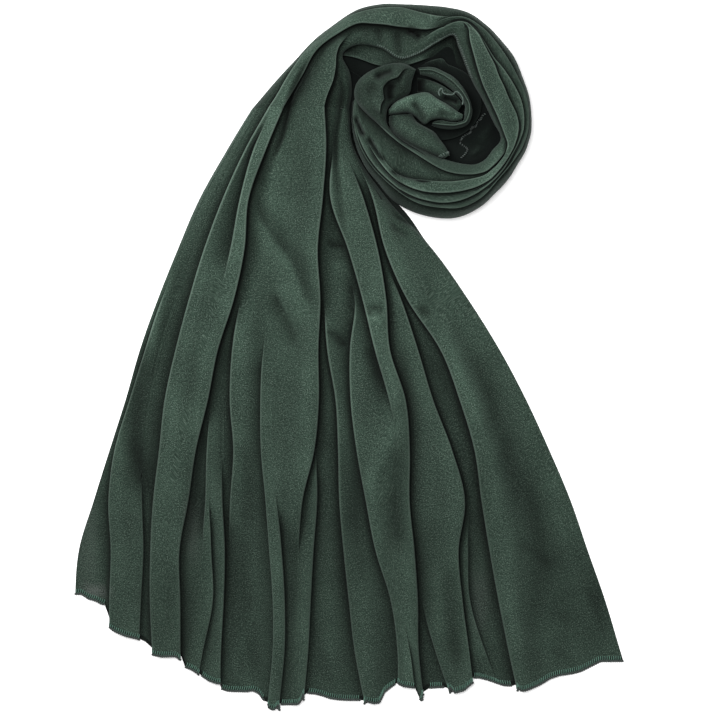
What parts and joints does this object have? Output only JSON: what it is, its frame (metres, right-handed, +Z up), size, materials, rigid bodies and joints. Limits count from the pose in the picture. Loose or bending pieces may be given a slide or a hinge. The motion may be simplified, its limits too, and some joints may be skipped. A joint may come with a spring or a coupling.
{
  "type": "hijab headscarf",
  "caption": "Dark green jersey headscarf laid flat, its pleated end fanned out and the rest wound into a soft rosette.",
  "frame": {"origin": "middle of the laid-out scarf's footprint, on the surface that it lies on", "axes": "+Y from the hem of the fan towards the coil, +Z up, +X to the right seen from above"},
  "size_m": [0.5476, 0.7039, 0.0623],
  "materials": {
    "jersey": "dark green heathered viscose jersey, matt, with a faint bloom and fine streaks across the cloth",
    "overlock": "green overlock thread over the cut edge, slightly shiny"
  },
  "bodies": {
    "root": {"fan_drape": "jersey", "neck_strand": "jersey", "arch_strand": "jersey", "outer_wrap": "jersey", "upper_petal": "jersey", "central_lobe": "jersey", "lower_petal": "jersey", "core_rim": "jersey", "core_curl": "jersey", "coil_core": "jersey"}
  },
  "joints": []
}
